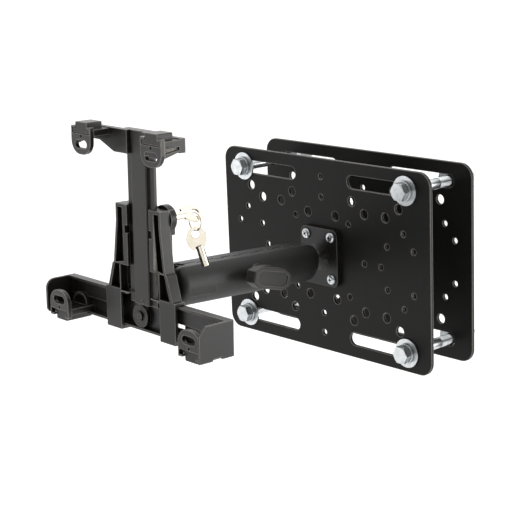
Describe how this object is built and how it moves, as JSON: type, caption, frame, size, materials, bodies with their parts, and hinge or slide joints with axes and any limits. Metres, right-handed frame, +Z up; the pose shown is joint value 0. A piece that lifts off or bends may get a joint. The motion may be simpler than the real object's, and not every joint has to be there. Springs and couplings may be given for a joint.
{
  "type": "forklift tablet mount",
  "caption": "Lockable tablet holder on a double-ball clamping arm, carried by slotted plates that clamp round a vehicle pillar with hex bolts.",
  "frame": {"origin": "centre of the front clamp plate's inner face, where the pillar bears", "axes": "+X across the plates, +Y from the tablet towards the pillar, +Z up"},
  "size_m": [0.254, 0.3159, 0.2318],
  "materials": {
    "plate_coat": "satin black powder coat",
    "zinc_steel": "bright zinc plate",
    "base_coat": "satin black powder coat",
    "black_screw": "black oxide",
    "ball_rubber": "matte black rubber",
    "ring_steel": "plain steel",
    "arm_nylon": "fine-grained black nylon",
    "knob_nylon": "fine-grained black nylon",
    "insert_brass": "machined",
    "holder_plastic": "charcoal moulded plastic",
    "bar_plastic": "charcoal moulded plastic",
    "lip_plastic": "charcoal moulded plastic",
    "spring_steel": "blued spring steel",
    "lock_chrome": "polished",
    "key_nickel": "nickel plate"
  },
  "bodies": {
    "front_plate": {"front_plate": "plate_coat", "ball_base_front": "base_coat", "ball_cover_front": "ball_rubber", "base_screws": "zinc_steel"},
    "rear_plate": {"rear_plate": "plate_coat"},
    "front_socket_ring": {"socket_ring_front": "ring_steel"},
    "arm": {"arm_shell_left": "arm_nylon", "arm_shell_right": "arm_nylon", "clamp_bolt": "ring_steel", "arm_spring": "ring_steel", "knob_washer": "ring_steel"},
    "wing_knob": {"wing_knob": "knob_nylon", "knob_insert": "insert_brass"},
    "holder_socket_ring": {"socket_ring_holder": "ring_steel"},
    "holder": {"holder_frame": "holder_plastic", "lower_tray": "holder_plastic", "rear_cover": "holder_plastic", "cover_screws": "black_screw", "ball_base_holder": "base_coat", "ball_cover_holder": "ball_rubber", "ball_base_screws_holder": "black_screw", "drum_pin": "ring_steel", "lock_barrel": "lock_chrome", "spring_strip": "spring_steel"},
    "slide_bar": {"slide_bar": "bar_plastic", "strip_rivet": "ring_steel", "top_bracket": "bar_plastic", "bracket_screws": "black_screw"},
    "spring_drum": {"spring_drum": "spring_steel"},
    "lock_core": {"lock_plug": "lock_chrome", "lock_cam": "ring_steel", "key_in_lock": "key_nickel"},
    "lock_pawl": {"lock_pawl": "ring_steel"},
    "key_ring": {"key_ring": "key_nickel"},
    "spare_key": {"spare_key": "key_nickel"},
    "bolt_top_left": {"bolt_top_left": "zinc_steel", "bolt_washers_top_left": "zinc_steel"},
    "nut_top_left": {"nut_top_left": "zinc_steel", "nut_washer_top_left": "zinc_steel"},
    "bolt_top_right": {"bolt_top_right": "zinc_steel", "bolt_washers_top_right": "zinc_steel"},
    "nut_top_right": {"nut_top_right": "zinc_steel", "nut_washer_top_right": "zinc_steel"},
    "bolt_bottom_left": {"bolt_bottom_left": "zinc_steel", "bolt_washers_bottom_left": "zinc_steel"},
    "nut_bottom_left": {"nut_bottom_left": "zinc_steel", "nut_washer_bottom_left": "zinc_steel"},
    "bolt_bottom_right": {"bolt_bottom_right": "zinc_steel", "bolt_washers_bottom_right": "zinc_steel"},
    "nut_bottom_right": {"nut_bottom_right": "zinc_steel", "nut_washer_bottom_right": "zinc_steel"},
    "lip_top_left": {"lip_top_left": "lip_plastic", "lip_screw_top_left": "black_screw"},
    "lip_top_right": {"lip_top_right": "lip_plastic", "lip_screw_top_right": "black_screw"},
    "lip_bottom_left": {"lip_bottom_left": "lip_plastic", "lip_screw_bottom_left": "black_screw"},
    "lip_bottom_right": {"lip_bottom_right": "lip_plastic", "lip_screw_bottom_right": "black_screw"}
  },
  "joints": [
    {"name": "clamp_slide", "type": "slide", "parent": "front_plate", "child": "rear_plate", "axis": [0, 1, 0], "range_m": [-0.03, 0.015]},
    {"name": "bolt_slide_top_left", "type": "slide", "parent": "front_plate", "child": "bolt_top_left", "axis": [1, 0, 0], "range_m": [0, 0.06]},
    {"name": "nut_slide_top_left", "type": "slide", "parent": "rear_plate", "child": "nut_top_left", "axis": [1, 0, 0], "range_m": [0, 0.06]},
    {"name": "bolt_slide_top_right", "type": "slide", "parent": "front_plate", "child": "bolt_top_right", "axis": [-1, 0, 0], "range_m": [0, 0.06]},
    {"name": "nut_slide_top_right", "type": "slide", "parent": "rear_plate", "child": "nut_top_right", "axis": [-1, 0, 0], "range_m": [0, 0.06]},
    {"name": "bolt_slide_bottom_left", "type": "slide", "parent": "front_plate", "child": "bolt_bottom_left", "axis": [1, 0, 0], "range_m": [0, 0.06]},
    {"name": "nut_slide_bottom_left", "type": "slide", "parent": "rear_plate", "child": "nut_bottom_left", "axis": [1, 0, 0], "range_m": [0, 0.06]},
    {"name": "bolt_slide_bottom_right", "type": "slide", "parent": "front_plate", "child": "bolt_bottom_right", "axis": [-1, 0, 0], "range_m": [0, 0.06]},
    {"name": "nut_slide_bottom_right", "type": "slide", "parent": "rear_plate", "child": "nut_bottom_right", "axis": [-1, 0, 0], "range_m": [0, 0.06]},
    {"name": "arm_yaw", "type": "hinge", "parent": "front_plate", "child": "front_socket_ring", "pos_m": [0, -0.033, 0], "axis": [0, 0, 1], "range_deg": [-8, 8]},
    {"name": "arm_pitch", "type": "hinge", "parent": "front_socket_ring", "child": "arm", "pos_m": [0, -0.033, 0], "axis": [1, 0, 0], "range_deg": [-14, 20]},
    {"name": "holder_roll", "type": "hinge", "parent": "arm", "child": "holder_socket_ring", "pos_m": [0, -0.16281, 0.007], "axis": [0, 0.9985, -0.0538], "range_deg": [-90, 90]},
    {"name": "holder_pitch", "type": "hinge", "parent": "holder_socket_ring", "child": "holder", "pos_m": [0, -0.16281, 0.007], "axis": [1, 0, 0], "range_deg": [-10, 14]},
    {"name": "knob_turn", "type": "hinge", "parent": "arm", "child": "wing_knob", "pos_m": [0.018, -0.09791, 0.0035], "axis": [1, 0, 0], "continuous": true},
    {"name": "bar_slide", "type": "slide", "parent": "holder", "child": "slide_bar", "axis": [0.014, 0.0244, 0.9996], "range_m": [0, 0.056], "stiffness_N_per_m": 20, "springref_m": -0.4, "deforming": ["spring_strip"]},
    {"name": "drum_turn", "type": "hinge", "parent": "holder", "child": "spring_drum", "pos_m": [-0.00477, -0.20381, -0.01264], "axis": [0.0003, -0.9997, 0.0244], "range_deg": [0, 540]},
    {"name": "key_turn", "type": "hinge", "parent": "holder", "child": "lock_core", "pos_m": [0.02037, -0.19129, 0.06934], "axis": [-0.0003, 0.9997, -0.0244], "range_deg": [0, 90]},
    {"name": "pawl_slide", "type": "slide", "parent": "holder", "child": "lock_pawl", "axis": [0.0003, -0.9997, 0.0244], "range_m": [0, 0.0018]},
    {"name": "ring_swing", "type": "hinge", "parent": "lock_core", "child": "key_ring", "pos_m": [0.02036, -0.1643, 0.06868], "axis": [-0.0003, 0.9997, -0.0244], "range_deg": [-90, 0]},
    {"name": "spare_key_swing", "type": "hinge", "parent": "key_ring", "child": "spare_key", "pos_m": [0.02016, -0.16465, 0.05408], "axis": [0.9999, 0, -0.014], "range_deg": [0, 20]},
    {"name": "lip_slide_top_left", "type": "slide", "parent": "slide_bar", "child": "lip_top_left", "axis": [0.0003, -0.9997, 0.0244], "range_m": [0, 0.003]},
    {"name": "lip_slide_top_right", "type": "slide", "parent": "slide_bar", "child": "lip_top_right", "axis": [0.0003, -0.9997, 0.0244], "range_m": [0, 0.003]},
    {"name": "lip_slide_bottom_left", "type": "slide", "parent": "holder", "child": "lip_bottom_left", "axis": [0.0003, -0.9997, 0.0244], "range_m": [0, 0.003]},
    {"name": "lip_slide_bottom_right", "type": "slide", "parent": "holder", "child": "lip_bottom_right", "axis": [0.0003, -0.9997, 0.0244], "range_m": [0, 0.003]}
  ],
  "couplings": [
    {"joint": "nut_slide_top_left", "follows": "bolt_slide_top_left", "ratio": 1},
    {"joint": "nut_slide_top_right", "follows": "bolt_slide_top_right", "ratio": 1},
    {"joint": "nut_slide_bottom_left", "follows": "bolt_slide_bottom_left", "ratio": 1},
    {"joint": "nut_slide_bottom_right", "follows": "bolt_slide_bottom_right", "ratio": 1},
    {"joint": "drum_turn", "follows": "bar_slide", "rad_per_m": 166.67},
    {"joint": "key_turn", "follows": "pawl_slide", "rad_per_m": 872.66},
    {"joint": "ring_swing", "follows": "pawl_slide", "rad_per_m": -872.66}
  ]
}
